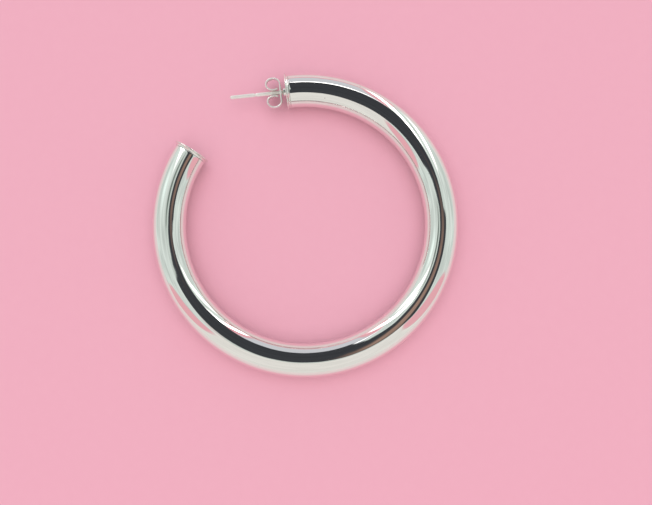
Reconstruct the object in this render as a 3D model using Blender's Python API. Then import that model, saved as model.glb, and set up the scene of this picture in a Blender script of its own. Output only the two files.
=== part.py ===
"""Hoop earring: a polished tube bent into an open hoop, lying on its side.

The hoop's axis is +Z, +X runs to the right of the hoop and +Y to its top. The opening between
the tube's two ends is at the upper left. The origin is the middle of the hoop, on the surface
that it lies on. All lengths are in metres and all angles in degrees.
"""

import math

import bmesh
import bpy
from mathutils import Matrix

# Hoop
HOOP_DIAMETER = 0.060       # across the hoop, outside to outside
TUBE_DIAMETER = 0.0065
TUBE_WALL = 0.0004
POST_END_ANGLE = 96.9       # where the tube stops, counted from +X towards +Y
FREE_END_ANGLE = 148.9      # where the tube starts again after the opening

# End caps, turned plugs with a thin rim that closes the tube
RIM_OVERHANG = 0.00045      # how far the rim stands proud of the tube
RIM_THICKNESS = 0.00026
COVE_LENGTH = 0.00044       # hollow flare between the tube and the rim
PLUG_LENGTH = 0.0012        # the stretch inside the tube
PLUG_CLEARANCE = 0.00004    # between the plug and the tube's bore
SEAT_GAP = 0.00004          # between the tube's end and the cap's shoulder
LOBE_RING_WIDTH = 0.0012    # flat outer ring of the post cap's face, clear of the nut
FACE_DISH = 0.00005         # how far that face is dished inside the ring, at the collar

# Ear post, soldered to its cap through a small collar
POST_DIAMETER = 0.00076
POST_LENGTH = 0.0112        # from the cap's face to the tip
POST_LEAN = 0.9             # the wire leans this much outwards from square to the cap
COLLAR_DIAMETER = 0.0016
COLLAR_LENGTH = 0.00062
COLLAR_ROUND = 0.00018
NOTCH_FROM_TIP = 0.0051     # groove that the nut snaps into
NOTCH_WIDTH = 0.0005
NOTCH_DEPTH = 0.00008

# Ear nut, one strip of sheet with a hole in its middle and both ends curled into a loop
NUT_GAP = 0.00028           # between the collar and the nut's plate
NUT_SHEET = 0.0003
NUT_PLATE_WIDTH = 0.0036    # along the hoop's axis, across the hole
NUT_END_WIDTH = 0.0027      # the same, at the ends of the strip
NUT_LOOP_DEPTH = 0.00305    # along the post, outside to outside
NUT_LOOP_HEIGHT = 0.0025    # across the post, outside to outside
NUT_LOOP_SWEEP = 308.0      # how far round each end is curled
NUT_CLEARANCE = 0.00007     # between the post and the nut, all round
NUT_TURN = -13.0            # how the loose nut happens to be turned about the post

# How finely the round shapes are divided
ROUND_SIDES = 32            # round the tube, the caps, the post and the nut's hole
TUBE_STEPS = 64
ARC_STEPS = 4
LOOP_STEPS = 20

# Values that follow from the ones above
TUBE_RADIUS = TUBE_DIAMETER / 2
BORE_RADIUS = TUBE_RADIUS - TUBE_WALL
CENTRELINE_RADIUS = HOOP_DIAMETER / 2 - TUBE_RADIUS
RIM_RADIUS = TUBE_RADIUS + RIM_OVERHANG
AXIS_HEIGHT = RIM_RADIUS
CAP_FACE = SEAT_GAP + COVE_LENGTH + RIM_THICKNESS
POST_RADIUS = POST_DIAMETER / 2
NUT_STANDOFF = COLLAR_LENGTH + NUT_GAP

SHARP_ANGLE = 35.0
WELD_DISTANCE = 1e-7


def clear_scene():
    for obj in list(bpy.data.objects):
        bpy.data.objects.remove(obj, do_unlink=True)


def polished_silver(name, colour, roughness):
    material = bpy.data.materials.new(name)
    material.use_nodes = True
    shader = material.node_tree.nodes["Principled BSDF"]
    shader.inputs["Base Color"].default_value = (*colour, 1.0)
    shader.inputs["Metallic"].default_value = 1.0
    shader.inputs["Roughness"].default_value = roughness
    return material


def finish_object(name, mesh_builder, material):
    """Turn a bmesh into an object with outward faces, smooth where it is round."""
    bmesh.ops.remove_doubles(mesh_builder, verts=mesh_builder.verts, dist=WELD_DISTANCE)
    bmesh.ops.recalc_face_normals(mesh_builder, faces=mesh_builder.faces)
    mesh = bpy.data.meshes.new(name)
    mesh_builder.to_mesh(mesh)
    mesh_builder.free()
    mesh.shade_smooth()
    mesh.set_sharp_from_angle(angle=math.radians(SHARP_ANGLE))
    mesh.materials.append(material)
    obj = bpy.data.objects.new(name, mesh)
    bpy.context.collection.objects.link(obj)
    return obj


def turned(profile):
    """A turned shape: the profile's (distance, radius) points go once round the local X axis."""
    shape = bmesh.new()
    points = [shape.verts.new((distance, 0.0, radius)) for distance, radius in profile]
    edges = [shape.edges.new(pair) for pair in zip(points, points[1:])]
    bmesh.ops.spin(
        shape,
        geom=points + edges,
        cent=(0.0, 0.0, 0.0),
        axis=(1.0, 0.0, 0.0),
        angle=math.tau,
        steps=ROUND_SIDES,
        use_merge=True,
    )
    return shape


def arc(centre, size, start, end, steps=ARC_STEPS):
    """Points along an ellipse from one angle to another, both ends included."""
    turn = [math.radians(start + (end - start) * i / steps) for i in range(steps + 1)]
    return [(centre[0] + size[0] * math.cos(a), centre[1] + size[1] * math.sin(a)) for a in turn]


def end_of_tube(angle):
    """The middle of the tube's section at an angle round the hoop."""
    turn = math.radians(angle)
    return (
        CENTRELINE_RADIUS * math.cos(turn),
        CENTRELINE_RADIUS * math.sin(turn),
        AXIS_HEIGHT,
    )


def place(obj, start, heading, distance=0.0, roll=0.0):
    """Put a piece a distance from start along a heading, its +X that way, rolled about it."""
    turn = math.radians(heading)
    obj.location = (
        start[0] + distance * math.cos(turn),
        start[1] + distance * math.sin(turn),
        start[2],
    )
    obj.rotation_euler = (math.radians(roll), 0.0, turn)


def make_tube(material):
    """The hoop: a ring-shaped section carried round the hoop's axis from end to end."""
    shape = bmesh.new()
    rings = []
    for radius in (TUBE_RADIUS, BORE_RADIUS):
        section = arc((CENTRELINE_RADIUS, 0.0), (radius, radius), 0.0, 360.0, ROUND_SIDES)
        rings.append([shape.verts.new((x, 0.0, z)) for x, z in section[:-1]])
    outer, inner = rings
    for i in range(ROUND_SIDES):
        j = (i + 1) % ROUND_SIDES
        shape.faces.new((outer[i], outer[j], inner[j], inner[i]))
    bmesh.ops.spin(
        shape,
        geom=list(shape.verts) + list(shape.edges) + list(shape.faces),
        cent=(0.0, 0.0, 0.0),
        axis=(0.0, 0.0, 1.0),
        angle=math.radians(360.0 + POST_END_ANGLE - FREE_END_ANGLE),
        steps=TUBE_STEPS,
    )
    tube = finish_object("hoop_tube", shape, material)
    tube.location = (0.0, 0.0, AXIS_HEIGHT)
    tube.rotation_euler = (0.0, 0.0, math.radians(FREE_END_ANGLE))
    return tube


def cap_profile():
    """Profile of an end cap, from the middle of the plug's end to the edge of its face."""
    plug_radius = BORE_RADIUS - PLUG_CLEARANCE
    rim_round = RIM_THICKNESS / 2
    cove_end = SEAT_GAP + COVE_LENGTH
    cove_centre = (SEAT_GAP, RIM_RADIUS - rim_round)
    cove_size = (COVE_LENGTH, RIM_OVERHANG - rim_round)
    rim_centre = (cove_end + rim_round, RIM_RADIUS - rim_round)
    profile = [(-PLUG_LENGTH, 0.0), (-PLUG_LENGTH, plug_radius), (SEAT_GAP, plug_radius)]
    profile += arc(cove_centre, cove_size, -90.0, 0.0)
    profile += arc(rim_centre, (rim_round, rim_round), 180.0, 0.0)[1:]
    return profile


def post_profile():
    """Profile of the collar and the wire, from the collar's foot to the rounded tip."""
    collar_radius = COLLAR_DIAMETER / 2
    collar_end = CAP_FACE + COLLAR_LENGTH
    collar_round_centre = (collar_end - COLLAR_ROUND, collar_radius - COLLAR_ROUND)
    tip_centre = (CAP_FACE + POST_LENGTH - POST_RADIUS, 0.0)
    notch_middle = CAP_FACE + POST_LENGTH - NOTCH_FROM_TIP
    notch_floor = POST_RADIUS - NOTCH_DEPTH
    profile = [(CAP_FACE - FACE_DISH, collar_radius)]
    profile += arc(collar_round_centre, (COLLAR_ROUND, COLLAR_ROUND), 90.0, 0.0)
    profile += [
        (collar_end, POST_RADIUS),
        (notch_middle - NOTCH_WIDTH / 2, POST_RADIUS),
        (notch_middle - NOTCH_WIDTH / 2 + NOTCH_DEPTH, notch_floor),
        (notch_middle + NOTCH_WIDTH / 2 - NOTCH_DEPTH, notch_floor),
        (notch_middle + NOTCH_WIDTH / 2, POST_RADIUS),
    ]
    profile += arc(tip_centre, (POST_RADIUS, POST_RADIUS), 90.0, 0.0)
    return profile


def cut_out(obj, cutter):
    """Cut a hidden body out of a piece."""
    cutter.hide_render = True
    cutter.display_type = "WIRE"
    modifier = obj.modifiers.new(cutter.name, "BOOLEAN")
    modifier.operation = "DIFFERENCE"
    modifier.solver = "EXACT"
    modifier.object = cutter


def make_post_end(material):
    """The cap at the post end, with the collar and the ear post soldered to its face.

    One profile runs from the plug to the tip of the post. All of it past the cap's face is then
    turned by the post's lean, about the middle of that face.
    """
    ring_edge = RIM_RADIUS - RIM_THICKNESS / 2 - LOBE_RING_WIDTH
    shape = turned(cap_profile() + [(CAP_FACE, ring_edge)] + post_profile())
    bmesh.ops.rotate(
        shape,
        verts=[v for v in shape.verts if v.co.x > CAP_FACE + WELD_DISTANCE],
        cent=(CAP_FACE, 0.0, 0.0),
        matrix=Matrix.Rotation(math.radians(-POST_LEAN), 3, "Z"),
    )
    cap = finish_object("post_end_cap", shape, material)
    place(cap, end_of_tube(POST_END_ANGLE), POST_END_ANGLE + 90.0)
    return cap


def make_free_end(material):
    """The plain cap at the other end of the tube."""
    cap = finish_object("free_end_cap", turned(cap_profile() + [(CAP_FACE, 0.0)]), material)
    place(cap, end_of_tube(FREE_END_ANGLE), FREE_END_ANGLE - 90.0)
    return cap


def nut_centreline():
    """The middle of the nut's sheet and its normal, seen along the hoop's axis.

    The plate is square to the post, at local X of half a sheet. From each end of it the sheet
    follows an ellipse that leaves the post at the plate and comes back to it from outside.
    """
    half_sheet = NUT_SHEET / 2
    size = (NUT_LOOP_DEPTH / 2 - half_sheet, NUT_LOOP_HEIGHT / 2 - half_sheet)
    loop_middle = POST_RADIUS + NUT_CLEARANCE + NUT_LOOP_HEIGHT / 2
    centre = (NUT_LOOP_DEPTH / 2, loop_middle)
    upper = []
    for i in range(LOOP_STEPS + 1):
        turn = math.radians(180.0 - NUT_LOOP_SWEEP * i / LOOP_STEPS)
        point = (centre[0] + size[0] * math.cos(turn), centre[1] + size[1] * math.sin(turn))
        normal = (math.cos(turn) / size[0], math.sin(turn) / size[1])
        length = math.hypot(*normal)
        upper.append((point, (normal[0] / length, normal[1] / length)))
    middle = [((half_sheet, 0.0), (-1.0, 0.0))]
    lower = [((p[0], -p[1]), (n[0], -n[1])) for p, n in upper]
    return upper[::-1] + middle + lower


def make_nut(material):
    """The butterfly nut: a strip of sheet carried along its centreline, with a round hole."""
    shape = bmesh.new()
    line = nut_centreline()
    middle = (len(line) - 1) / 2
    previous = None
    for i, (point, normal) in enumerate(line):
        share = (1.0 + math.cos(math.pi * (i - middle) / middle)) / 2
        half_width = (NUT_END_WIDTH + (NUT_PLATE_WIDTH - NUT_END_WIDTH) * share) / 2
        corners = []
        for side, z in ((1, -half_width), (1, half_width), (-1, half_width), (-1, -half_width)):
            offset = side * NUT_SHEET / 2
            corner = (point[0] + offset * normal[0], point[1] + offset * normal[1], z)
            corners.append(shape.verts.new(corner))
        if previous is None:
            shape.faces.new(corners)
        else:
            for a in range(4):
                b = (a + 1) % 4
                shape.faces.new((previous[a], previous[b], corners[b], corners[a]))
        previous = corners
    shape.faces.new(previous)
    nut = finish_object("ear_nut", shape, material)

    hole_radius = POST_RADIUS + NUT_CLEARANCE
    hole_profile = [
        (-NUT_SHEET, 0.0),
        (-NUT_SHEET, hole_radius),
        (2 * NUT_SHEET, hole_radius),
        (2 * NUT_SHEET, 0.0),
    ]
    hole = finish_object("nut_hole", turned(hole_profile), material)
    cut_out(nut, hole)
    return nut, hole


def build():
    clear_scene()
    tube_silver = polished_silver("polished silver tube", (0.90, 0.90, 0.89), 0.06)
    cap_silver = polished_silver("polished silver cap", (0.90, 0.90, 0.88), 0.10)
    nut_silver = polished_silver("tumbled silver sheet", (0.88, 0.88, 0.85), 0.16)

    make_tube(tube_silver)
    make_post_end(cap_silver)
    make_free_end(cap_silver)
    nut, hole = make_nut(nut_silver)

    # The nut's origin is on the post's axis, the line it slides along.
    cap_heading = POST_END_ANGLE + 90.0
    for piece in (nut, hole):
        place(piece, end_of_tube(POST_END_ANGLE), cap_heading, CAP_FACE)
        place(piece, piece.location, cap_heading - POST_LEAN, NUT_STANDOFF, NUT_TURN)


build()
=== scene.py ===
# %% [markdown]
# # A polished silver hoop earring
#
# The earring is a thin-walled, silver-plated tube bent into an open hoop. Each end of the tube is
# closed by a small turned cap with a thin rim. One cap carries the ear post, a drawn wire that
# stands in a solder collar, and a butterfly nut slides on the post. The hoop lies on its side, as a
# plain hoop does, and the camera looks down on it.
#
# A mechanical model of the earring already exists. This script loads it as a fixed frame, makes a
# finer surface for each of its pieces in the same place, and gives each one its finish. Polished
# silver has hardly a colour of its own: it shows the room. So half of the lesson is the room.

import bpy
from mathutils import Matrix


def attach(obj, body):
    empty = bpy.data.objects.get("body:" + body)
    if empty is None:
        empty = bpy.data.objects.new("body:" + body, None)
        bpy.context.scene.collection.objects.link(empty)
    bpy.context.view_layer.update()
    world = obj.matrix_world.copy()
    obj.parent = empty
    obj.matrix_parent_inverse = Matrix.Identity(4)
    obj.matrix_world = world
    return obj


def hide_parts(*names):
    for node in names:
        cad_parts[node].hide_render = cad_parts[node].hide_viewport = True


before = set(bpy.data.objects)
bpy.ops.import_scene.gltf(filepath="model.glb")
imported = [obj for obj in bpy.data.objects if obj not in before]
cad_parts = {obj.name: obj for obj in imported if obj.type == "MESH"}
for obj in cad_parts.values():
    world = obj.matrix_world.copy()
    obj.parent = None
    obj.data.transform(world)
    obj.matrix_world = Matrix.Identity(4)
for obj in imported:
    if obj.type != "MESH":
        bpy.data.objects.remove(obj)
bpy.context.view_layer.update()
print("frame nodes:", sorted(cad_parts))

import bmesh
import bpy
import numpy as np

# %% [markdown]
# ## Sizes
#
# The sizes are those of the mechanical model, in millimetres, because a jeweller thinks in them.
# One function turns finished points into metres, which Blender and the frame use. The hoop's
# middle is at X = Y = 0, and it lies with its axis pointing up, so the axis height is the radius
# of the widest thing on the tube: the rim of a cap.

# %% Sizes in millimetres and degrees
HOOP_DIAMETER = 60.0
TUBE_DIAMETER = 6.5
TUBE_WALL = 0.4
POST_END = 96.9             # where the tube stops, counted from +X towards +Y
FREE_END = 148.9            # where it starts again after the opening

RIM_OVERHANG = 0.45
RIM_THICKNESS = 0.26
COVE_LENGTH = 0.44
PLUG_LENGTH = 1.2
PLUG_CLEARANCE = 0.04
SEAT_GAP = 0.04
LOBE_RING_WIDTH = 1.2       # the flat outer ring of the face that the ear lobe rests on
FACE_DISH = 0.05

POST_DIAMETER = 0.76
POST_LENGTH = 11.2
POST_LEAN = 0.9
COLLAR_DIAMETER = 1.6
COLLAR_LENGTH = 0.62
COLLAR_ROUND = 0.18
SOLDER_FILLET = 0.09
NOTCH_FROM_TIP = 5.1
NOTCH_WIDTH = 0.5
NOTCH_DEPTH = 0.08

NUT_GAP = 0.28
NUT_SHEET = 0.3
NUT_PLATE_WIDTH = 3.6
NUT_END_WIDTH = 2.7
NUT_LOOP_DEPTH = 3.05
NUT_LOOP_HEIGHT = 2.5
NUT_LOOP_SWEEP = 308.0
NUT_CLEARANCE = 0.07
NUT_TURN = -13.0

# %% Sizes that follow
tube_radius = TUBE_DIAMETER / 2
bore_radius = tube_radius - TUBE_WALL
hoop_radius = HOOP_DIAMETER / 2 - tube_radius      # to the middle of the tube
rim_radius = tube_radius + RIM_OVERHANG
axis_height = rim_radius
cap_face = SEAT_GAP + COVE_LENGTH + RIM_THICKNESS
post_radius = POST_DIAMETER / 2
nut_standoff = COLLAR_LENGTH + NUT_GAP
print("middle line of the tube: radius", hoop_radius, "mm, height", axis_height, "mm")

# %% [markdown]
# ## Surfaces from arrays
#
# Every piece here is a surface of two parameters. Numpy works out all of its points at once on a
# grid, and the grid becomes a mesh of four-sided faces. Where a direction comes back to its start,
# the last row joins the first. Where a whole row falls on one point, as at the middle of a cap,
# merging its doubles turns those faces into triangles and closes the pole.

# %% A grid of points becomes a mesh
MERGE_DISTANCE = 2e-7        # in metres: far less than any step of a grid
MM_PER_METRE = 1000


def grid_faces(rows, columns, loop_rows=False, loop_columns=False):
    """The four corner numbers of each face of a grid: (i, j), (i+1, j), (i+1, j+1), (i, j+1)."""
    i, j = np.meshgrid(
        np.arange(rows if loop_rows else rows - 1),
        np.arange(columns if loop_columns else columns - 1),
        indexing="ij",
    )
    i_next, j_next = (i + 1) % rows, (j + 1) % columns
    row, next_row = i * columns, i_next * columns
    corners = [row + j, next_row + j, next_row + j_next, row + j_next]
    return np.stack(corners, axis=-1).reshape(-1, 4)


def to_object(name, points, faces, attributes=None, uv=None, closed=True):
    """A mesh object from points in millimetres, faces, per-point vectors and per-point UVs.

    Where closed is true, its seams and poles are merged and its faces turned outwards.
    """
    points = np.asarray(points, float).reshape(-1, 3)
    mesh = bpy.data.meshes.new(name)
    mesh.from_pydata(points / MM_PER_METRE, [], faces.tolist())
    for label, values in (attributes or {}).items():
        layer = mesh.attributes.new(label, "FLOAT_VECTOR", "POINT")
        layer.data.foreach_set("vector", np.asarray(values, np.float32).reshape(-1))
    if uv is not None:
        corner_points = np.empty(len(mesh.loops), np.int32)
        mesh.loops.foreach_get("vertex_index", corner_points)
        layer = mesh.uv_layers.new(name="UVMap")
        corner_uv = np.asarray(uv, np.float32).reshape(-1, 2)[corner_points]
        layer.data.foreach_set("uv", corner_uv.reshape(-1))
    if closed:
        shape = bmesh.new()
        shape.from_mesh(mesh)
        bmesh.ops.remove_doubles(shape, verts=shape.verts, dist=MERGE_DISTANCE)
        bmesh.ops.recalc_face_normals(shape, faces=shape.faces)
        shape.to_mesh(mesh)
        shape.free()
    mesh.shade_smooth()
    piece = bpy.data.objects.new(name, mesh)
    bpy.context.scene.collection.objects.link(piece)
    return piece


def report(piece):
    """Print the number of triangles of a piece, and whether every edge has two faces."""
    shape = bmesh.new()
    shape.from_mesh(piece.data)
    triangles = sum(len(face.verts) - 2 for face in shape.faces)
    open_edges = sum(len(edge.link_faces) != 2 for edge in shape.edges)
    shape.free()
    print(piece.name, "triangles:", triangles, "open edges:", open_edges)


# %% [markdown]
# ## The tube
#
# The real tube is drawn straight, cut, filled and bent round a former, so its section stays a
# circle and its middle line is an arc. That is part of a ring surface: a point on the middle line,
# plus the tube's radius along a direction that turns round the middle line. The wall is a thin
# sheet that closes on itself, so one walk goes out along the outside, over the cut end, back along
# the bore and over the other cut end. The cut edges are rounded a little, as after a wipe with a
# file, because a perfectly sharp edge never catches the light.

# %% The walk along the wall
TUBE_STATIONS = 360          # steps along the tube: under half a millimetre each
TUBE_ROUND = 128             # steps round it
BORE_STATIONS = TUBE_STATIONS // 3
EDGE_ROUND = 0.05
EDGE_STEPS = 4


def arc(centre, size, start, end, steps):
    """Points on an arc from one angle to another: centre + size * (cos, sin).

    size is one radius for a circle, or the two half axes of an ellipse.
    """
    wide, high = np.broadcast_to(size, 2)
    turn = np.radians(np.linspace(start, end, steps + 1))
    return np.stack([centre[0] + wide * np.cos(turn), centre[1] + high * np.sin(turn)], axis=1)


sweep = 360.0 + POST_END - FREE_END
tube_length = np.radians(sweep) * hoop_radius
straight = np.linspace(EDGE_ROUND, tube_length - EDGE_ROUND, TUBE_STATIONS + 1)
edge_radius = tube_radius - EDGE_ROUND
far_edge = arc((tube_length - EDGE_ROUND, edge_radius), EDGE_ROUND, 90, 0, EDGE_STEPS)
near_edge = arc((EDGE_ROUND, edge_radius), EDGE_ROUND, 180, 90, EDGE_STEPS)
bore_length = np.linspace(tube_length, 0, BORE_STATIONS + 1)
wall_walk = np.concatenate([
    np.stack([straight, np.full_like(straight, tube_radius)], axis=1),
    far_edge[1:],
    np.stack([bore_length, np.full_like(bore_length, bore_radius)], axis=1),
    near_edge[:-1],
])
print("tube length along its middle line:", round(tube_length, 2), "mm")


# %% The tube's surface
def ring_point(length, radius, turn):
    """A point of the bent tube.

    The middle line is at hoop_radius from the hoop's axis, at the angle FREE_END plus
    length / hoop_radius. From it the point lies at the given radius, along cos(turn) times the
    direction away from the hoop's axis plus sin(turn) times up.
    """
    angle = np.radians(FREE_END) + length / hoop_radius
    away = hoop_radius + radius * np.cos(turn)
    up = axis_height + radius * np.sin(turn) + 0 * angle
    return np.stack([away * np.cos(angle), away * np.sin(angle), up], axis=-1)


around = np.linspace(0, 2 * np.pi, TUBE_ROUND, endpoint=False)
length, turn = np.meshgrid(wall_walk[:, 0], around, indexing="ij")
radius = np.repeat(wall_walk[:, 1:], TUBE_ROUND, axis=1)
# The grain runs with the tube: two coordinates across the section and one along it, in mm.
tube_grain = np.stack([radius * np.cos(turn), radius * np.sin(turn), length], axis=-1)
tube = to_object(
    "tube_wall",
    ring_point(length, radius, turn),
    grid_faces(len(wall_walk), TUBE_ROUND, loop_rows=True, loop_columns=True),
    attributes={"grain": tube_grain},
)
report(tube)

# %% [markdown]
# ## The caps and the ear post
#
# The caps are small turned pieces: a plug that goes into the tube, a hollow flare and a thin
# rounded rim. On the lathe such a piece is one profile, so here it is one profile too, carried
# round the tube's axis. At the post end the profile doesn't stop at the face: it goes on over the
# solder fillet, the collar, the wire and the small groove that the nut clicks into, up to the
# rounded tip. The wire leans by about one degree, so the part of the profile past the face turns
# about an axis that leans by that much.

# %% Profiles as (distance along the axis, radius)
ARC_STEPS = 10
PLUG_CHAMFER = 0.1
BROKEN_EDGE = 0.01           # a turned corner is never quite sharp
RING_OUTER, RING_INNER = 0.9, 0.05     # where the ring has points, out from its inner edge
DISH_START = (0.005, 0.1)    # the dish's first point: its depth, and how far in from that edge
WIRE_FILLET = 0.03
NOTCH_SOFTNESS = 0.02        # how far outside the notch's width its sides begin
WIRE_STEPS = 24


def line(start, end, steps):
    """Evenly spaced points from start to end, both included."""
    share = np.linspace(0, 1, steps + 1)[:, None]
    return np.array(start) * (1 - share) + np.array(end) * share


def cap_profile():
    """From the middle of the plug's inner end, over the flare and the rim, to the face's edge.

    The flare is a quarter of an ellipse that curves inwards, and the rim is half a circle.
    """
    plug_radius = bore_radius - PLUG_CLEARANCE
    rim_round = RIM_THICKNESS / 2
    rim_middle = rim_radius - rim_round
    cove_size = (COVE_LENGTH, RIM_OVERHANG - rim_round)
    cove_end = SEAT_GAP + COVE_LENGTH
    return np.concatenate([
        line((-PLUG_LENGTH, 0), (-PLUG_LENGTH, plug_radius - PLUG_CHAMFER), 3),
        line((-PLUG_LENGTH + PLUG_CHAMFER, plug_radius), (SEAT_GAP - BROKEN_EDGE, plug_radius), 3),
        line((SEAT_GAP, plug_radius + BROKEN_EDGE), (SEAT_GAP, tube_radius - BROKEN_EDGE), 3),
        arc((SEAT_GAP, rim_middle), cove_size, -90, 0, ARC_STEPS),
        arc((cove_end + rim_round, rim_middle), rim_round, 180, 0, 2 * ARC_STEPS)[1:],
    ])


def post_profile():
    """From the flat ring, down the faint dish, over collar, wire and groove to the round tip."""
    ring_edge = rim_radius - RIM_THICKNESS / 2 - LOBE_RING_WIDTH
    collar_radius = COLLAR_DIAMETER / 2
    collar_end = cap_face + COLLAR_LENGTH
    fillet_radius = collar_radius + SOLDER_FILLET
    round_start = collar_radius - COLLAR_ROUND
    notch = cap_face + POST_LENGTH - NOTCH_FROM_TIP
    notch_radius = post_radius - NOTCH_DEPTH
    floor_start = notch - NOTCH_WIDTH / 2 + NOTCH_DEPTH
    floor_end = notch + NOTCH_WIDTH / 2 - NOTCH_DEPTH
    before_notch = notch - NOTCH_WIDTH / 2 - NOTCH_SOFTNESS
    after_notch = notch + NOTCH_WIDTH / 2 + NOTCH_SOFTNESS
    tip_start = cap_face + POST_LENGTH - post_radius
    ring = line((cap_face, ring_edge + RING_OUTER), (cap_face, ring_edge + RING_INNER), 4)
    dish_start = (cap_face - DISH_START[0], ring_edge - DISH_START[1])
    dish = line(dish_start, (cap_face - FACE_DISH, fillet_radius), 5)
    fillet_middle = (cap_face - FACE_DISH + SOLDER_FILLET, fillet_radius)
    fillet = arc(fillet_middle, SOLDER_FILLET, 180, 270, 5)[1:]
    collar = arc((collar_end - COLLAR_ROUND, round_start), COLLAR_ROUND, 90, 0, ARC_STEPS)
    return np.concatenate([
        ring, dish, fillet, collar,
        line((collar_end, round_start - WIRE_FILLET), (collar_end, post_radius + WIRE_FILLET), 2),
        line((collar_end + WIRE_FILLET, post_radius), (before_notch, post_radius), WIRE_STEPS),
        line((floor_start, notch_radius), (floor_end, notch_radius), 4),
        line((after_notch, post_radius), (tip_start, post_radius), WIRE_STEPS),
        arc((tip_start, 0), post_radius, 90, 0, ARC_STEPS)[1:],
    ])


# %% Turned pieces in their place
CAP_ROUND = 128
FACE_START = 0.3             # how far in from the rim the plain cap's face has its first point


def turned_piece(name, profile, end_angle, heading, lean=0.0):
    """A profile carried round the tube's axis at one of its ends.

    A point is the middle of the tube's end, plus the distance along the heading, plus the radius
    along cos(turn) times sideways plus sin(turn) times up. Past the cap's face both the heading
    and the sideways direction are turned by the lean, about the middle of the face.
    """
    distance, radius = profile[:, :1], profile[:, 1:]
    turn = np.linspace(0, 2 * np.pi, CAP_ROUND, endpoint=False)[None, :]
    forward, sideways = distance - cap_face, radius * np.cos(turn)
    bend = np.radians(-lean) * (distance > cap_face + 1e-6)
    forward, sideways = (
        cap_face + forward * np.cos(bend) - sideways * np.sin(bend),
        forward * np.sin(bend) + sideways * np.cos(bend),
    )
    ahead, place = np.radians(heading), np.radians(end_angle)
    x = hoop_radius * np.cos(place) + forward * np.cos(ahead) - sideways * np.sin(ahead)
    y = hoop_radius * np.sin(place) + forward * np.sin(ahead) + sideways * np.cos(ahead)
    z = axis_height + radius * np.sin(turn) + 0 * forward
    # Turning marks go round the axis: they depend on the distance and the radius alone.
    marks = np.stack([distance + 0 * turn, radius + 0 * turn, 0 * z], axis=-1)
    return to_object(
        name,
        np.stack([x, y, z], axis=-1),
        grid_faces(len(profile), CAP_ROUND, loop_columns=True),
        attributes={"marks": marks},
    )


with_post = np.concatenate([cap_profile(), post_profile()])
post_cap = turned_piece("cap_with_post", with_post, POST_END, POST_END + 90, POST_LEAN)
face_middle = line((cap_face, rim_radius - FACE_START), (cap_face, 0), 10)
plain = np.concatenate([cap_profile(), face_middle])
free_cap = turned_piece("plain_cap", plain, FREE_END, FREE_END - 90)
report(post_cap)
report(free_cap)

# %% [markdown]
# ## The butterfly nut
#
# The nut starts as a flat strip of sheet with a hole in the middle. A press dishes the hole a
# little, and each end is curled into a loop that grips the post from the side. The strip is made
# the same way: first a flat grid with two coordinates, along the strip and across it, and then the
# bend. Round the hole the grid goes from a circle to a rectangle. There are two such skins, one on
# each side of the sheet. They come together in a half round at every edge, as tumbling leaves it.
# That round edge is what the camera sees, and it is where the nut catches the light.

# %% The bend: from a place along the strip to a point beside the post
LOOP_MIDDLE = post_radius + NUT_CLEARANCE + NUT_LOOP_HEIGHT / 2
LOOP_SIZE = (NUT_LOOP_DEPTH / 2 - NUT_SHEET / 2, NUT_LOOP_HEIGHT / 2 - NUT_SHEET / 2)
LOOP_POINTS = 241            # for measuring along the loop

loop_turn = np.radians(np.linspace(180.0, 180.0 - NUT_LOOP_SWEEP, LOOP_POINTS))
loop_line = np.stack([
    NUT_LOOP_DEPTH / 2 + LOOP_SIZE[0] * np.cos(loop_turn),
    LOOP_MIDDLE + LOOP_SIZE[1] * np.sin(loop_turn),
], axis=1)
loop_length = np.concatenate([[0], np.cumsum(np.linalg.norm(np.diff(loop_line, axis=0), axis=1))])
STRIP_HALF = LOOP_MIDDLE + loop_length[-1]
print("nut strip:", round(2 * STRIP_HALF, 2), "mm long before it is curled")


def bent(along, out):
    """The strip, bent: straight to LOOP_MIDDLE each way from the hole, then round the loop.

    along is measured from the hole. out moves the point off the sheet's middle, along the normal
    that points away from the inside of the loop. On the straight part that is towards the cap.
    """
    way, far = np.sign(along), np.abs(along)
    turn = np.interp(far - LOOP_MIDDLE, loop_length, loop_turn)
    slope = np.stack([np.cos(turn) / LOOP_SIZE[0], np.sin(turn) / LOOP_SIZE[1]])
    normal = slope / np.hypot(*slope)
    ahead = NUT_LOOP_DEPTH / 2 + LOOP_SIZE[0] * np.cos(turn) + out * normal[0]
    straight = np.minimum(far, LOOP_MIDDLE)
    beside = straight + LOOP_SIZE[1] * np.sin(turn) + out * normal[1]
    return ahead, way * beside


# %% The flat strip
HOLE_HALF = 1.4              # half the length of the rectangle round the hole
HOLE_RAY = 1.5               # roughly how far the hole's edge is from that rectangle
END_ROUND = 0.5
EDGE_WIDTH = 0.14            # how far in from an edge the sheet has its full thickness
ROUND_STEPS = 6              # across an edge's width
LIP_HEIGHT = 0.07
LIP_WIDTH = 0.22
WIDTH_STEPS = 21             # the width falls in these steps: one on the flat, the rest on a loop


def graded(length, steps, from_edge=True):
    """Places from 0 to length, closer together within an edge's width of the end.

    Where from_edge is true, the start is an edge too. The fine places are at 1 - cos of even turns
    up to a right angle, times the edge's width, so that the half round is divided evenly.
    """
    fine = EDGE_WIDTH * (1 - np.cos(np.linspace(0, np.pi / 2, ROUND_STEPS + 1)))
    start = EDGE_WIDTH if from_edge else 0.0
    places = [fine[:-1]] if from_edge else []
    places.append(np.linspace(start, length - EDGE_WIDTH, steps + 1))
    places.append((length - fine[:-1])[::-1])
    return np.concatenate(places)


SIDE = graded(NUT_END_WIDTH, 16) / NUT_END_WIDTH * 2 - 1           # across, from -1 to 1
ARM = HOLE_HALF + graded(STRIP_HALF - HOLE_HALF, 150, from_edge=False)
RAY = graded(HOLE_RAY, 12) / HOLE_RAY                              # out from the hole, 0 to 1


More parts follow.
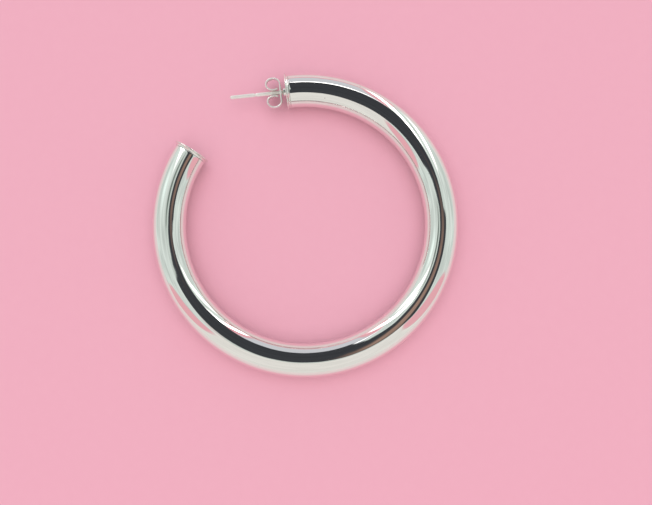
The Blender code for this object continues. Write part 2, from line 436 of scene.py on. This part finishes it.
def half_width(along):
    """Half the strip's width: widest at the hole, narrower to the ends, with rounded corners.

    It falls along half a cosine wave, and a quarter circle at each end rounds the corners.
    """
    far = np.abs(along)
    on_loop = 1 + (WIDTH_STEPS - 1) * (far - LOOP_MIDDLE) / loop_length[-1]
    step = np.where(far < LOOP_MIDDLE, far / LOOP_MIDDLE, on_loop)
    share = (1 + np.cos(np.pi * step / WIDTH_STEPS)) / 2
    half = (NUT_END_WIDTH + (NUT_PLATE_WIDTH - NUT_END_WIDTH) * share) / 2
    past = np.clip((far - (STRIP_HALF - END_ROUND)) / END_ROUND, 0, 1)
    return half - END_ROUND * (1 - np.sqrt(1 - past**2))


def hole_ring():
    """The rectangle round the hole.

    A point is on a straight line from the hole's edge to the rectangle's edge, by the ray's share.
    """
    run = HOLE_HALF * np.linspace(-1, 1, len(SIDE))
    right = np.stack([np.full(len(SIDE) - 1, HOLE_HALF), SIDE[:-1] * half_width(HOLE_HALF)], axis=1)
    top = np.stack([run[:0:-1], half_width(run[:0:-1])], axis=1)
    outer = np.concatenate([right, top, -right, -top])
    inner = (post_radius + NUT_CLEARANCE) * outer / np.linalg.norm(outer, axis=1)[:, None]
    share = RAY[:, None, None]
    return inner[None] * (1 - share) + outer[None] * share


def strip_arm(way):
    """One end of the strip: from the rectangle's side to the rounded end, along and across."""
    along, side = np.meshgrid(ARM, SIDE, indexing="ij")
    return np.stack([way * along, way * side * half_width(along)], axis=-1)


def half_thickness(flat, from_hole):
    """Half the sheet's thickness, which falls to nothing along a quarter ellipse at each edge:
    the square root of 1 - (1 - the distance from the edge / the edge's width) squared."""
    along, across = np.abs(flat[..., 0]), np.abs(flat[..., 1])
    thickness = NUT_SHEET / 2
    for inside in (half_width(along) - across, STRIP_HALF - along, from_hole):
        thickness = thickness * np.sqrt(1 - (1 - np.clip(inside / EDGE_WIDTH, 0, 1)) ** 2)
    return thickness


def nut_point(flat, skin):
    """A point of the nut in place, on one skin (1 outer, -1 inner) of the sheet.

    The lip at the hole, a bell curve, and the half thickness lift it off the sheet's middle. Then
    come the bend, the turn about the post and the place in front of the collar.
    """
    from_hole = np.linalg.norm(flat, axis=-1) - (post_radius + NUT_CLEARANCE)
    lip = LIP_HEIGHT * np.exp(-((from_hole / LIP_WIDTH) ** 2))
    ahead, beside = bent(flat[..., 0], skin * half_thickness(flat, from_hole) - lip)
    roll, up = np.radians(NUT_TURN), flat[..., 1]
    beside, up = (
        beside * np.cos(roll) - up * np.sin(roll),
        beside * np.sin(roll) + up * np.cos(roll),
    )
    cap_heading, post_heading = np.radians(POST_END + 90), np.radians(POST_END + 90 - POST_LEAN)
    ahead = ahead + nut_standoff
    place = np.radians(POST_END)
    x = hoop_radius * np.cos(place) + cap_face * np.cos(cap_heading)
    y = hoop_radius * np.sin(place) + cap_face * np.sin(cap_heading)
    return np.stack([
        x + ahead * np.cos(post_heading) - beside * np.sin(post_heading),
        y + ahead * np.sin(post_heading) + beside * np.cos(post_heading),
        axis_height + up,
    ], axis=-1)


# %% The nut's sheet
nut_points, nut_faces, count = [], [], 0
for skin in (1, -1):
    for patch, loop in ((hole_ring(), True), (strip_arm(1), False), (strip_arm(-1), False)):
        rows, columns = patch.shape[:2]
        nut_points.append(nut_point(patch, skin).reshape(-1, 3))
        nut_faces.append(grid_faces(rows, columns, loop_columns=loop) + count)
        count += rows * columns
nut = to_object("butterfly_nut", np.concatenate(nut_points), np.concatenate(nut_faces))
report(nut)

# %% [markdown]
# ## Silver
#
# All of it is plated with silver, and the difference is in how each piece was finished. Plate
# comes out of its bath milky white, and only buffing makes it a mirror. The tube was buffed fully:
# its roughness is close to nothing, and only faint draw lines along it, a slight wave in the metal
# and a few specks of dust show that it is a real surface. The caps were turned and buffed, so very
# fine rings go round them. The nut was tumbled with steel shot, which leaves it bright but softer,
# with tiny dents. The nut and the wire of the post keep some of the white skin, so their Metallic
# is below one.

# %% Colours and nodes
def linear(code):
    """An sRGB hex colour such as F2F0EB as linear red, green, blue and alpha."""
    value = np.array([int(code[i:i + 2], 16) for i in (0, 2, 4)]) / 255
    return (*np.where(value <= 0.04045, value / 12.92, ((value + 0.055) / 1.055) ** 2.4), 1.0)


def node(tree, kind, values=None, links=None, **settings):
    """Add a node, set its properties, its input values and its links from other outputs."""
    made = tree.nodes.new(kind)
    for label, value in settings.items():
        setattr(made, label, value)
    for label, value in (values or {}).items():
        made.inputs[label].default_value = value
    for label, source in (links or {}).items():
        tree.links.new(source, made.inputs[label])
    return made


def new_material(name):
    """A material with its Principled shader, and nothing else set."""
    material = bpy.data.materials.new(name)
    material.use_nodes = True
    return material, material.node_tree, material.node_tree.nodes["Principled BSDF"]


# %% Mirror-buffed silver tube
def buffed_tube_silver():
    """Silver plate on drawn tube, buffed to a mirror.

    Clean silver reflects about 95 % of the light, a little less in blue. The draw lines run along
    the tube: noise with about 6 lines per millimetre round the section that hardly changes along
    it. Real ones are finer, and these are coarse enough to show. The buffing wave is about 5 mm
    long and a hundredth of a millimetre deep, and the specks of dust are about 0.2 mm across.
    """
    material, tree, shader = new_material("silver plated tube, drawn and mirror buffed")
    shader.inputs["Metallic"].default_value = 1.0
    grain = node(tree, "ShaderNodeAttribute", attribute_name="grain", attribute_type="GEOMETRY")
    stretched = node(
        tree, "ShaderNodeVectorMath", {1: (1.0, 1.0, 0.03)}, {0: grain.outputs["Vector"]},
        operation="MULTIPLY",
    )
    draw_lines = node(
        tree, "ShaderNodeTexNoise", {"Scale": 6.0, "Detail": 3.0, "Roughness": 0.6},
        {"Vector": stretched.outputs["Vector"]},
    )
    wave = node(
        tree, "ShaderNodeTexNoise", {"Scale": 0.22, "Detail": 1.0, "Roughness": 0.4},
        {"Vector": grain.outputs["Vector"]},
    )
    specks = node(
        tree, "ShaderNodeTexVoronoi", {"Scale": 0.4, "Randomness": 1.0},
        {"Vector": grain.outputs["Vector"]},
    )
    speck_mask = node(
        tree, "ShaderNodeMapRange",
        {"From Min": 0.02, "From Max": 0.06, "To Min": 1.0, "To Max": 0.0},
        {"Value": specks.outputs["Distance"]},
    )
    colour = node(
        tree, "ShaderNodeMix", {6: linear("F6F5F1"), 7: linear("EFEEE8")},
        {0: draw_lines.outputs["Fac"]}, data_type="RGBA",
    )
    dusty = node(
        tree, "ShaderNodeMix", {7: linear("C9C4BC")},
        {0: speck_mask.outputs["Result"], 6: colour.outputs[2]}, data_type="RGBA",
    )
    rough = node(
        tree, "ShaderNodeMapRange",
        {"From Min": 0.35, "From Max": 0.75, "To Min": 0.03, "To Max": 0.07},
        {"Value": draw_lines.outputs["Fac"]},
    )
    rougher = node(
        tree, "ShaderNodeMath", {1: 0.2},
        {0: speck_mask.outputs["Result"], 2: rough.outputs["Result"]}, operation="MULTIPLY_ADD",
    )
    lines = node(
        tree, "ShaderNodeBump", {"Strength": 0.25, "Distance": 0.000004},
        {"Height": draw_lines.outputs["Fac"]},
    )
    waves = node(
        tree, "ShaderNodeBump", {"Strength": 1.0, "Distance": 0.00003},
        {"Height": wave.outputs["Fac"], "Normal": lines.outputs["Normal"]},
    )
    tree.links.new(dusty.outputs[2], shader.inputs["Base Color"])
    tree.links.new(rougher.outputs["Value"], shader.inputs["Roughness"])
    tree.links.new(waves.outputs["Normal"], shader.inputs["Normal"])
    return material


# %% Turned and buffed silver
WIRE_START = cap_face + COLLAR_LENGTH
WIRE_BLEND = 0.2             # the finish of the collar passes into the wire's over this length


def turned_silver():
    """Silver plate on a turned cap, buffed: fine rings round the axis, about 14 per millimetre,
    which draw the light into a soft bright line across the rim. Real ones are finer.

    The marks attribute holds the distance along the axis in X and the radius in Y, in millimetres.
    Past the collar is the wire, which isn't buffed. It keeps the white satin skin of the plate, so
    it is rougher, less metallic, and shows no dark line.
    """
    material, tree, shader = new_material("silver plated brass, turned and buffed")
    shader.inputs["Metallic"].default_value = 1.0
    marks = node(tree, "ShaderNodeAttribute", attribute_name="marks", attribute_type="GEOMETRY")
    rings = node(
        tree, "ShaderNodeTexNoise", {"Scale": 14.0, "Detail": 2.0, "Roughness": 0.6},
        {"Vector": marks.outputs["Vector"]},
    )
    place = node(tree, "ShaderNodeTexCoord")
    handling = node(
        tree, "ShaderNodeTexNoise", {"Scale": 900.0, "Detail": 3.0, "Roughness": 0.6},
        {"Vector": place.outputs["Object"]},
    )
    colour = node(
        tree, "ShaderNodeMix", {6: linear("F4F3EE"), 7: linear("E9E7E0")},
        {0: handling.outputs["Fac"]}, data_type="RGBA",
    )
    rough = node(
        tree, "ShaderNodeMapRange",
        {"From Min": 0.3, "From Max": 0.7, "To Min": 0.07, "To Max": 0.14},
        {"Value": rings.outputs["Fac"]},
    )
    split = node(tree, "ShaderNodeSeparateXYZ", links={0: marks.outputs["Vector"]})
    past_collar = {"From Min": WIRE_START, "From Max": WIRE_START + WIRE_BLEND}
    wire = node(
        tree, "ShaderNodeMapRange", {**past_collar, "To Max": 0.26}, {"Value": split.outputs["X"]}
    )
    rougher = node(
        tree, "ShaderNodeMath", links={0: rough.outputs["Result"], 1: wire.outputs["Result"]},
        operation="ADD",
    )
    metallic = node(
        tree, "ShaderNodeMapRange", {**past_collar, "To Min": 1.0, "To Max": 0.58},
        {"Value": split.outputs["X"]},
    )
    grooves = node(
        tree, "ShaderNodeBump", {"Strength": 0.5, "Distance": 0.000006},
        {"Height": rings.outputs["Fac"]},
    )
    tree.links.new(colour.outputs[2], shader.inputs["Base Color"])
    tree.links.new(rougher.outputs["Value"], shader.inputs["Roughness"])
    tree.links.new(metallic.outputs["Result"], shader.inputs["Metallic"])
    tree.links.new(grooves.outputs["Normal"], shader.inputs["Normal"])
    return material


# %% Tumbled silver sheet
def tumbled_silver():
    """Silver plate on pressed sheet, tumbled in steel shot: bright but satin, with dents about a
    fifth of a millimetre across, which break the reflections into soft spots."""
    material, tree, shader = new_material("silver plated sheet, pressed and tumbled")
    shader.inputs["Metallic"].default_value = 0.72
    place = node(tree, "ShaderNodeTexCoord")
    dents = node(
        tree, "ShaderNodeTexVoronoi", {"Scale": 5000.0, "Smoothness": 1.0},
        {"Vector": place.outputs["Object"]}, feature="SMOOTH_F1",
    )
    handling = node(
        tree, "ShaderNodeTexNoise", {"Scale": 1500.0, "Detail": 3.0, "Roughness": 0.6},
        {"Vector": place.outputs["Object"]},
    )
    colour = node(
        tree, "ShaderNodeMix", {6: linear("F8F7F3"), 7: linear("EFEEE8")},
        {0: handling.outputs["Fac"]}, data_type="RGBA",
    )
    rough = node(
        tree, "ShaderNodeMapRange",
        {"From Min": 0.3, "From Max": 0.7, "To Min": 0.24, "To Max": 0.36},
        {"Value": handling.outputs["Fac"]},
    )
    dented = node(
        tree, "ShaderNodeBump", {"Strength": 0.35, "Distance": 0.00001},
        {"Height": dents.outputs["Distance"]},
    )
    tree.links.new(colour.outputs[2], shader.inputs["Base Color"])
    tree.links.new(rough.outputs["Result"], shader.inputs["Roughness"])
    tree.links.new(dented.outputs["Normal"], shader.inputs["Normal"])
    return material


# %% Dress the pieces
def dress(piece, material, body, slot_name, *nodes):
    """Give a piece its finish, let it move with its body and stand for the frame's nodes."""
    piece.data.materials.clear()
    piece.data.materials.append(material)
    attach(piece, body)
    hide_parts(*nodes)


cap_silver = turned_silver()
dress(tube, buffed_tube_silver(), "earring", "tube", "hoop_tube")
dress(post_cap, cap_silver, "earring", "caps", "post_end_cap")
dress(free_cap, cap_silver, "earring", "caps", "free_end_cap")
dress(nut, tumbled_silver(), "nut", "nut", "ear_nut")

# %% [markdown]
# ## The floor
#
# The earring lies on pale pink suede card. Its pink comes back in the lower half of every silver
# surface, so the floor is part of the finish. From above the floor shows its pink. At a slant its
# colour is mixed towards a pale pinkish white by how slanted the view is: a painted sheen, added to
# the shader's own weak sheen. The sides of the tube see the floor at a slant, so this painted
# paleness runs up to the pink edge lines.

# %% Pale pink suede card
# Real fibres are a few hundredths of a millimetre thick. These spots are about 2 mm, to show.
FLOOR_HALF = 1500.0
floor_corners = np.array([[-1, -1, 0], [1, -1, 0], [1, 1, 0], [-1, 1, 0]]) * FLOOR_HALF
floor = to_object("floor", floor_corners, np.array([[0, 1, 2, 3]]), closed=False)
suede, suede_tree, suede_shader = new_material("pale pink suede card")
suede_shader.inputs["Roughness"].default_value = 0.9
suede_shader.inputs["Specular IOR Level"].default_value = 0.0
suede_shader.inputs["Sheen Weight"].default_value = 0.5
suede_shader.inputs["Sheen Roughness"].default_value = 0.4
suede_place = node(suede_tree, "ShaderNodeTexCoord")
suede_fibre = node(
    suede_tree, "ShaderNodeTexNoise", {"Scale": 500.0, "Detail": 4.0, "Roughness": 0.6},
    {"Vector": suede_place.outputs["Object"]},
)
suede_colour = node(
    suede_tree, "ShaderNodeMix", {6: linear("EDB1C2"), 7: linear("EBADBF")},
    {0: suede_fibre.outputs["Fac"]}, data_type="RGBA",
)
# Painted sheen: the base colour turns pale pinkish white (E6D6D8) as the view of the floor gets
# more slanted.
slant = node(suede_tree, "ShaderNodeLayerWeight", {"Blend": 0.5})
painted_sheen_share = node(
    suede_tree, "ShaderNodeMapRange", {"From Min": 0.3, "From Max": 0.75},
    {"Value": slant.outputs["Facing"]}, interpolation_type="SMOOTHSTEP",
)
suede_with_painted_sheen = node(
    suede_tree, "ShaderNodeMix", {7: linear("E6D6D8")},
    {0: painted_sheen_share.outputs["Result"], 6: suede_colour.outputs[2]}, data_type="RGBA",
)
suede_tree.links.new(suede_with_painted_sheen.outputs[2], suede_shader.inputs["Base Color"])
floor.data.materials.append(suede)

# %% [markdown]
# ## The room
#
# A mirror is lit by what it sees. The dark line along the crest of the tube is three black cards
# round the lens. The white flanks are two large softboxes, one on each side, and a white and a grey
# card at the bottom and the top of the ring. Narrow slanted strips, several times as bright as
# paper white, give the streaks. A warm and a green card put a little colour into the dark line, a
# pale scrim hangs behind the black cards, and the pink in the gaps is the walls.
#
# The far cards are patches of a sphere round the earring, given by a direction and an angular
# size, and the near ones are flat. The light of each fades towards its edges, as on a real
# softbox. The strips and the near cards don't light the floor, which would show them as patches.

# %% The light of a card
CARD_STEPS = 24


def card_material(name, colour, strength, soft, folds):
    """Even light with broad folds, which fades to clear over the soft share of the card's width.

    The fade is a smooth step of the distance from the middle, sideways times outwards.
    """
    material = bpy.data.materials.new(name)
    material.use_nodes = True
    tree = material.node_tree
    tree.nodes.clear()
    at = node(tree, "ShaderNodeUVMap", uv_map="UVMap")
    split = node(tree, "ShaderNodeSeparateXYZ", links={0: at.outputs["UV"]})
    fades = []
    for axis in ("X", "Y"):
        centred = node(
            tree, "ShaderNodeMath", {1: 0.5}, {0: split.outputs[axis]}, operation="SUBTRACT"
        )
        size = node(tree, "ShaderNodeMath", links={0: centred.outputs[0]}, operation="ABSOLUTE")
        fades.append(node(
            tree, "ShaderNodeMapRange",
            {"From Min": 0.5, "From Max": 0.5 - soft, "To Min": 0.0, "To Max": 1.0},
            {"Value": size.outputs[0]}, interpolation_type="SMOOTHSTEP",
        ))
    mask = node(
        tree, "ShaderNodeMath", operation="MULTIPLY",
        links={0: fades[0].outputs["Result"], 1: fades[1].outputs["Result"]},
    )
    cloth = node(
        tree, "ShaderNodeTexNoise", {"Scale": 5.0, "Detail": 2.0, "Distortion": 0.6},
        {"Vector": at.outputs["UV"]},
    )
    dim, bright = strength * (1 - folds), strength * (1 + folds)
    level = node(
        tree, "ShaderNodeMapRange",
        {"From Min": 0.3, "From Max": 0.7, "To Min": dim, "To Max": bright},
        {"Value": cloth.outputs["Fac"]},
    )
    glow = node(
        tree, "ShaderNodeEmission", {"Color": linear(colour)}, {"Strength": level.outputs["Result"]}
    )
    clear = node(tree, "ShaderNodeBsdfTransparent")
    joined = node(
        tree, "ShaderNodeMixShader",
        links={0: mask.outputs[0], 1: clear.outputs[0], 2: glow.outputs[0]},
    )
    node(tree, "ShaderNodeOutputMaterial", links={"Surface": joined.outputs[0]})
    return material


def set_card(name, points, u, v, material, lights_floor):
    """Put a card in the room: the silver sees it and the camera doesn't."""
    uv = np.stack([(u + 1) / 2, (v + 1) / 2], axis=-1)
    card = to_object(name, points, grid_faces(*u.shape), uv=uv, closed=False)
    card.data.materials.append(material)
    card.visible_camera = False
    card.visible_diffuse = lights_floor
    card.visible_shadow = False


# %% A far card and a near card
def card_grid():
    """Two coordinates from -1 to 1 over a card: sideways and outwards."""
    steps = np.linspace(-1, 1, CARD_STEPS + 1)
    v, u = np.meshgrid(steps, steps, indexing="ij")
    return u, v


def far_card(name, azimuth, reach, half_widths, distance, colour, strength, soft, folds=0.0):
    """A curved card that faces the earring.

    It reaches from one angle off vertical to another. Its azimuth and half its width, as an angle,
    are given at those two ends and change evenly between them. One azimuth serves for both ends. A
    point is the direction from the earring, times the distance.
    """
    u, v = card_grid()
    share = (v + 1) / 2
    off = np.radians(reach[0] + (reach[1] - reach[0]) * share)
    side = np.tan(np.radians(half_widths[0] + (half_widths[1] - half_widths[0]) * share)) * u
    a = np.radians(np.interp(share, (0, 1), np.broadcast_to(azimuth, 2)))
    towards = np.stack([
        np.sin(off) * np.cos(a) - side * np.sin(a),
        np.sin(off) * np.sin(a) + side * np.cos(a),
        np.cos(off),
    ], axis=-1)
    towards /= np.linalg.norm(towards, axis=-1, keepdims=True)
    points = distance * towards + [0, 0, axis_height]
    material = card_material(name, colour, strength, soft, folds)
    set_card(name, points, u, v, material, lights_floor=strength <= 1)


def near_card(name, corners, height, colour, soft, folds=0.0):
    """A flat card over the earring.

    Its corners are (x, y) at near left, near right, far right and far left, and a point is the
    even blend of the four, at one height.
    """
    u, v = card_grid()
    near_left, near_right, far_right, far_left = np.array(corners, float)[:, None, None, :]
    across, out = (u[..., None] + 1) / 2, (v[..., None] + 1) / 2
    flat = (near_left * (1 - across) + near_right * across) * (1 - out)
    flat = flat + (far_left * (1 - across) + far_right * across) * out
    points = np.concatenate([flat, np.full((*u.shape, 1), height + axis_height)], axis=-1)
    material = card_material(name, colour, 1.0, soft, folds)
    set_card(name, points, u, v, material, lights_floor=False)


# %% Softboxes, strips and far cards
# Azimuth 0 is to the right, 90 the top of the ring and 270 the bottom, in degrees.
far_card("softbox_left", 162, (12, 97), (30, 39), 700, "D6E0DD", 1.0, soft=0.06, folds=0.18)
far_card("softbox_right", 22, (12, 97), (26, 40), 700, "D6E0DD", 1.0, soft=0.06, folds=0.18)
far_card("strip_left", (137, 118), (30, 88), (2.5, 4), 650, "FFFFFF", 7.0, soft=0.3)
far_card("strip_left_wide", (148, 131), (30, 86), (4, 7), 652, "FFFFFF", 3.0, soft=0.45)
far_card("strip_right", (46, 70), (26, 97), (2.5, 4), 650, "FFFFFF", 7.0, soft=0.35)
far_card("strip_right_wide", (30, 54), (32, 92), (3, 6), 652, "FFFFFF", 3.0, soft=0.45)
far_card("line_high", 92, (46, 50), (24, 26), 653, "FFFFFF", 5.0, soft=0.4)
far_card("glow_left", 158, (36, 76), (10, 12), 655, "F0FFFC", 1.1, soft=0.5)
far_card("white_card_low", 270, (13, 97), (20, 70), 690, "E8E6E3", 1.0, soft=0.05, folds=0.05)
far_card("grey_card_high", 92, (12, 86), (22, 22), 720, "D0D2DA", 1.0, soft=0.06)

# %% The cards round the lens
SCRIM_HALF = 180
scrim_corners = [
    (-SCRIM_HALF, -SCRIM_HALF), (SCRIM_HALF, -SCRIM_HALF),
    (SCRIM_HALF, SCRIM_HALF), (-SCRIM_HALF, SCRIM_HALF),
]
near_card("scrim", scrim_corners, 420, "CBD6D2", soft=0.2, folds=0.1)
high_corners = [(-8, -12), (38, -12), (120, 165), (-76, 198)]
near_card("black_card_high", high_corners, 152, "3A3C41", soft=0.06, folds=0.1)
left_corners = [(-30, -60), (12, -60), (12, 42), (-84, -14)]
near_card("black_card_left", left_corners, 150, "3C3E43", soft=0.08, folds=0.1)
right_corners = [(0, -62), (96, -62), (96, 30), (0, 34)]
near_card("black_card_right", right_corners, 151, "3C3E43", soft=0.08, folds=0.1)
green_corners = [(-78, 8), (-30, 12), (-36, 58), (-78, 50)]
near_card("green_card", green_corners, 153, "6C7872", soft=0.4)
warm_corners = [(4, -68), (68, -68), (58, 38), (2, 38)]
near_card("warm_card", warm_corners, 148, "9C8074", soft=0.35, folds=0.2)

# %% The light on the floor
# A sun straight above, 70 degrees wide, evens out the floor and leaves the shadow round the
# earring soft. The silver doesn't mirror it.
over_data = bpy.data.lights.new("overhead", "SUN")
over_data.energy = 1.25
over_data.angle = np.radians(70)
over = bpy.data.objects.new("overhead", over_data)
over.visible_glossy = False
over.visible_camera = False
scene = bpy.context.scene
scene.collection.objects.link(over)

# %% The pink walls
world = bpy.data.worlds.new("pink walls")
world.use_nodes = True
walls = world.node_tree.nodes["Background"]
walls.inputs["Color"].default_value = linear("EBAEB9")
walls.inputs["Strength"].default_value = 1.0
scene.world = world
scene.view_settings.view_transform = "Standard"

# %% [markdown]
# ## The camera
#
# The camera looks almost straight along the hoop's axis, which points up here, so it stands over
# the earring and leans by about five degrees. It is a little over 15 cm away, as for a close
# picture of jewellery, and its place decides which part of the room each spot of silver shows.

# %% The camera
CAMERA_PLACE = (0.00412, -0.02055, 0.15604)          # metres from the tube's middle line
CAMERA_TURN = (5.4175, 0.02506, 0.0)                 # degrees about X, Y and Z

camera_data = bpy.data.cameras.new("camera")
camera_data.sensor_width = 36.0
camera_data.lens = 44.17
camera_data.clip_start = 0.005
camera = bpy.data.objects.new("camera", camera_data)
camera.location = np.add(CAMERA_PLACE, (0, 0, axis_height / MM_PER_METRE))
camera.rotation_euler = np.radians(CAMERA_TURN)
scene.collection.objects.link(camera)
scene.camera = camera
print("camera height over the floor in mm:", round(MM_PER_METRE * camera.location.z, 1))
